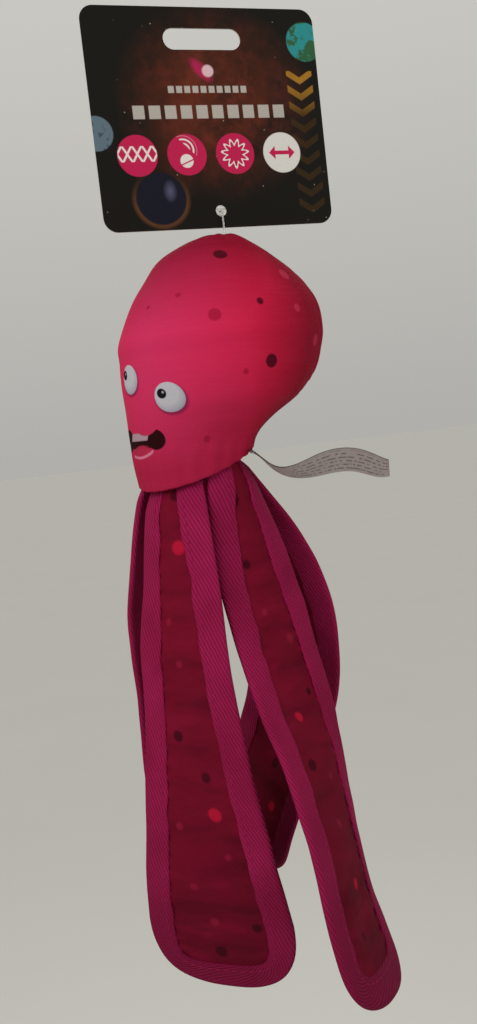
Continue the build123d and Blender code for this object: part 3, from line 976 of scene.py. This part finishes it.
def make_head(canvas, fill_material):
    """The sewn canvas cover with its rolled hem, and the filling inside it."""
    t, angle = head_grid(*HEAD_GRID)
    base = head_surface(t, angle)
    wrapped = np.concatenate([base[:, -1:], base, base[:, :1]], 1)
    normal = head_normals(wrapped)[:, 1:-1]
    outer = base + normal * head_relief(base, t, angle)[..., None]
    # rolled hem: the canvas turns in under the neck edge and runs up inside
    last = outer[-1]
    inward = unit((np.array(NECK) - last) * (1, 1, 0))
    hem = [last + inward * step_in - (0, 0, step_down) for step_in, step_down in HEM]
    points = turned(np.concatenate([outer, np.stack(hem)], 0))
    cover = grid_mesh("head_cloth", points, canvas, loop_v=True)
    close_crown(cover, points, columns=t.shape[1])
    on_head(cover, "canvas_pink", "head_face_panel", "head_back_panel")

    t, angle = head_grid(60, 90)
    inside = turned(head_surface(np.clip(t, 0, 12.6), angle, inset=2.6))
    filling_piece = grid_mesh("head_filling", inside, fill_material, loop_v=True)
    close_crown(filling_piece, inside, columns=t.shape[1], both=True)
    on_head(filling_piece, "fibre_fill", "head_stuffing")


def close_crown(piece, points, columns, both=False):
    """Caps the open first ring, and the last one too if both are asked for."""
    work = bmesh.new()
    work.from_mesh(piece.data)
    work.verts.ensure_lookup_table()
    rings = [(range(columns), False)]
    if both:
        start = (points.shape[0] - 1) * columns
        rings.append((range(start, start + columns), True))
    rings = [([work.verts[i] for i in ring], flip) for ring, flip in rings]
    for corners, flip in rings:
        middle = work.verts.new(sum((v.co for v in corners), Vector()) / columns)
        for i in range(columns):
            a, b = corners[i], corners[(i + 1) % columns]
            work.faces.new((middle, a, b) if flip else (middle, b, a))
    bmesh.ops.recalc_face_normals(work, faces=work.faces)
    work.to_mesh(piece.data)
    work.free()
    piece.data.shade_smooth()


def make_seam(material):
    """Topstitch thread sunk in the head's seam."""
    base = head_surface(*head_grid(*HEAD_GRID))
    y = base[..., 1] - FACE_SEAM_Y
    points = []
    for row in range(base.shape[0]):
        for column in np.where(np.diff(np.sign(y[row])) != 0)[0]:
            f = y[row, column] / (y[row, column] - y[row, column + 1])
            points.append(base[row, column] * (1 - f) + base[row, column + 1] * f)
    points = np.array(points)
    centre = points.mean(0)
    order = np.argsort(np.arctan2(points[:, 2] - centre[2], points[:, 0] - centre[0]))
    loop = points[np.append(order, order[0])]
    run = run_along(*loop.T)

    def at(place):
        return np.stack([np.interp(place, run, loop[:, k]) for k in range(3)], -1)

    share = np.array([0.0, 0.3, 1.0, 1.7, 2.0])
    girth = np.array([0.2, 1.0, 1.0, 1.0, 0.2])
    place = np.arange(0, run[-1] - 3, 3.0)[:, None] + share
    spot = at(place)
    out = unit(spot - (LEAN[0] * 8, LEAN[1] * 8, -108.0))
    ahead = unit(at(place + 0.2) - spot)
    beside = np.cross(ahead, out)
    ring = np.stack([beside * a + out * b for a, b in ROUND], 2) * THREAD_R * girth[:, None, None]
    rings = turned((spot - out * 0.55)[:, :, None] + ring)
    on_head(thread_mesh("head_seam_thread", rings, material), "twill_tape")


def make_neck_base(material):
    """Round of canvas that closes the neck between the tentacles, drawn in by its seam."""
    radius = np.linspace(0.0, 1.0, 22)[1:]
    angle = np.linspace(-pi, pi, 96, endpoint=False)
    r, a = np.meshgrid(radius, angle, indexing="ij")
    rim = head_surface(np.full_like(a, 13.0), a, inset=1.7)
    centre = np.array([LEAN[0] * 30.0, LEAN[1] * 30.0, 0.0])
    flat = centre + (rim - centre) * r[..., None]
    y = flat[..., 1]
    plane = NECK[2] + NECK_SLOPE * (y - NECK[1])
    gather = 0.35 * np.sin(a * 21) * smoothstep(r, 0.6, 1.0)
    flat[..., 2] = plane + 0.6 + 1.6 * (1 - r ** 2) + gather * 0.5
    piece = grid_mesh("neck_base_cloth", turned(flat), material, loop_v=True)
    close_crown(piece, turned(flat), columns=96)
    on_head(piece, "canvas_crimson", "neck_base_panel")


def make_label(material):
    """Satin tape folded double; it leaves the seam, turns over and bends away."""
    long = LABEL_LENGTH + LABEL_SUNK
    ribbon = Ribbon(LABEL_AZIMUTH, LABEL_R - LABEL_SUNK, long, LABEL_RUN)
    s, w = np.meshgrid(np.linspace(0.0, long, 90), np.linspace(-1, 1, 17), indexing="ij")
    w = w * LABEL_WIDTH / 2
    wave = ripple(77, s, w, 17.0, 1.3) * smoothstep(s, 4, 20)
    top, bottom = (ribbon.spot(s, w, wave + up, np.full_like(s, LABEL_CUP)) for up in (0.16, -0.16))
    folded = np.concatenate([top, bottom[::-1]], 0)
    uv = np.concatenate([np.stack([w, s], -1), np.stack([w, s[::-1]], -1)], 0)
    piece = grid_mesh("care_label_cloth", folded, material, uv=uv)
    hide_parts("care_label")
    ribbon.blend(piece, "label", 14.0, lambda s: np.array(LABEL_CUP))


def make_bellows(material):
    """Folding wall of the squeaker."""
    half_folds = 2 * BELLOWS_FOLDS
    outside = [(BELLOWS_RIDGE - k % 2 * BELLOWS_DIP, k * BELLOWS_H / half_folds)
               for k in range(half_folds + 1)]
    profile = outside + [(r - BELLOWS_WALL, h) for r, h in reversed(outside)]
    centre = turned(BELLOWS_FOOT)
    around = np.linspace(0, 2 * pi, 65)[:-1]
    points = centre + [[(r * cos(a), r * sin(a), h) for a in around] for r, h in profile]
    piece = grid_mesh("squeaker_folds", points, material, loop_u=True, loop_v=True)
    piece.data.shade_flat()
    on_head(piece, "squeaker_plastic", "squeaker_bellows")
    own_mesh(piece)


def repaint(node, material):
    """A carried-over CAD node gets a detailed material in its slots."""
    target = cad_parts[node]
    if not target.material_slots:
        target.data.materials.append(material)
    for slot in target.material_slots:
        slot.material = material


# ---- stage ------------------------------------------------------------------------------------
CAMERA_AT = (-109.5, -336.9, -140.9)
CAMERA_RIGHT = (0.94737, -0.29951, -0.11303)
CAMERA_FORWARD = (0.29199, 0.9532, -0.07846)
FIELD_OF_VIEW = 56.0                        # over the frame's long side
SENSOR = 36.0
FLOOR_DROP, FLOOR_REACH = 0.9, 60.0         # metres below the part, and to each side
HORIZON, SKY = (176, 175, 171), (200, 199, 193)
LIT_PLACE = (0, 0, -0.16)


def make_camera():
    data = bpy.data.cameras.new("camera")
    data.sensor_width = SENSOR
    data.lens = SENSOR / 2 / math.tan(radians(FIELD_OF_VIEW / 2))
    camera = link("camera", data)
    forward = Vector(CAMERA_FORWARD).normalized()
    right = Vector(CAMERA_RIGHT)
    right = (right - forward * right.dot(forward)).normalized()
    up = right.cross(forward)
    axes = Matrix((right, up, -forward)).transposed().to_4x4()
    camera.matrix_world = Matrix.Translation(Vector(CAMERA_AT) * MM) @ axes
    bpy.context.scene.camera = camera


def area_light(name, place, size, power, tint=(1, 1, 1)):
    """Soft square light, turned towards the part."""
    data = bpy.data.lights.new(name, "AREA")
    data.shape, data.size, data.energy, data.color = "SQUARE", size, power, tint
    light = link(name, data)
    light.location = place
    aim = Vector(LIT_PLACE) - Vector(place)
    light.rotation_euler = aim.to_track_quat("-Z", "Y").to_euler()


def make_stage():
    """Pale floor far below, a sky that darkens to the same grey, and three soft lights."""
    bpy.context.scene.view_settings.view_transform = "Standard"
    paint = Paint("studio_floor", roughness=0.9)
    _, vector = paint.place()
    paint.colour(paint.noise(vector, 3.0), (226, 225, 221), (230, 229, 225))
    low, _ = cad_box
    corners = [(x * FLOOR_REACH, y * FLOOR_REACH, low[2] - FLOOR_DROP)
               for x, y in ((-1, -1), (1, -1), (1, 1), (-1, 1))]
    add_mesh("floor", corners, [(0, 1, 2, 3)], paint.material)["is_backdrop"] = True
    world = bpy.data.worlds.new("studio")
    bpy.context.scene.world = world
    world.use_nodes = True
    tree = world.node_tree
    split = tree.nodes.new("ShaderNodeSeparateXYZ")
    tree.links.new(tree.nodes.new("ShaderNodeTexCoord").outputs["Generated"], split.inputs[0])
    sky = tree.nodes.new("ShaderNodeMix")
    sky.data_type = "RGBA"
    height = Value(tree, split.outputs["Z"]).outside(0.2, 0.4)
    tree.links.new(height.source, sky.inputs[0])
    sky.inputs[6].default_value, sky.inputs[7].default_value = linear(HORIZON), linear(SKY)
    tree.links.new(sky.outputs[2], tree.nodes["Background"].inputs["Color"])
    area_light("key", (-0.75, -0.75, 0.55), 0.7, 8.0, (1.0, 0.985, 0.96))
    area_light("fill", (0.9, -0.9, 0.1), 1.2, 1.6)
    area_light("back", (0.4, 1.1, 0.6), 1.0, 4.0)


def main():
    tape, stitch, film_material = twill_tape(), thread(), film()
    for index, (arm, (azimuth, *run)) in enumerate(TENTACLES.items()):
        make_tentacle(index, arm, azimuth, run, tape, stitch, film_material)
    make_head(head_canvas(), filling())
    make_seam(stitch)
    make_neck_base(panel_cloth("neck_canvas", 3))
    make_label(label_cloth())
    repaint("hang_card", card_print())
    nylon = plain("clear_nylon", (226, 226, 220), (206, 206, 200), 400.0, 0.3,
                  Transmission_Weight=0.55, IOR=1.5)
    repaint("tag_pin", nylon)
    soft_plastic = plain("squeaker_plastic", (222, 221, 214), (210, 208, 200), 250.0, 0.45)
    for node in ("squeaker_base", "squeaker_cap"):
        repaint(node, soft_plastic)
    make_bellows(soft_plastic)
    repaint("squeaker_reed", plain("reed_plastic", (84, 84, 86), (70, 70, 74), 300.0, 0.4))
    make_camera()
    make_stage()
    bpy.context.view_layer.update()
    boxes = {"cad": cad_box, "visual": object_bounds()}
    plain_lists = {key: [[float(v) for v in corner] for corner in box]
                   for key, box in boxes.items()}


main()
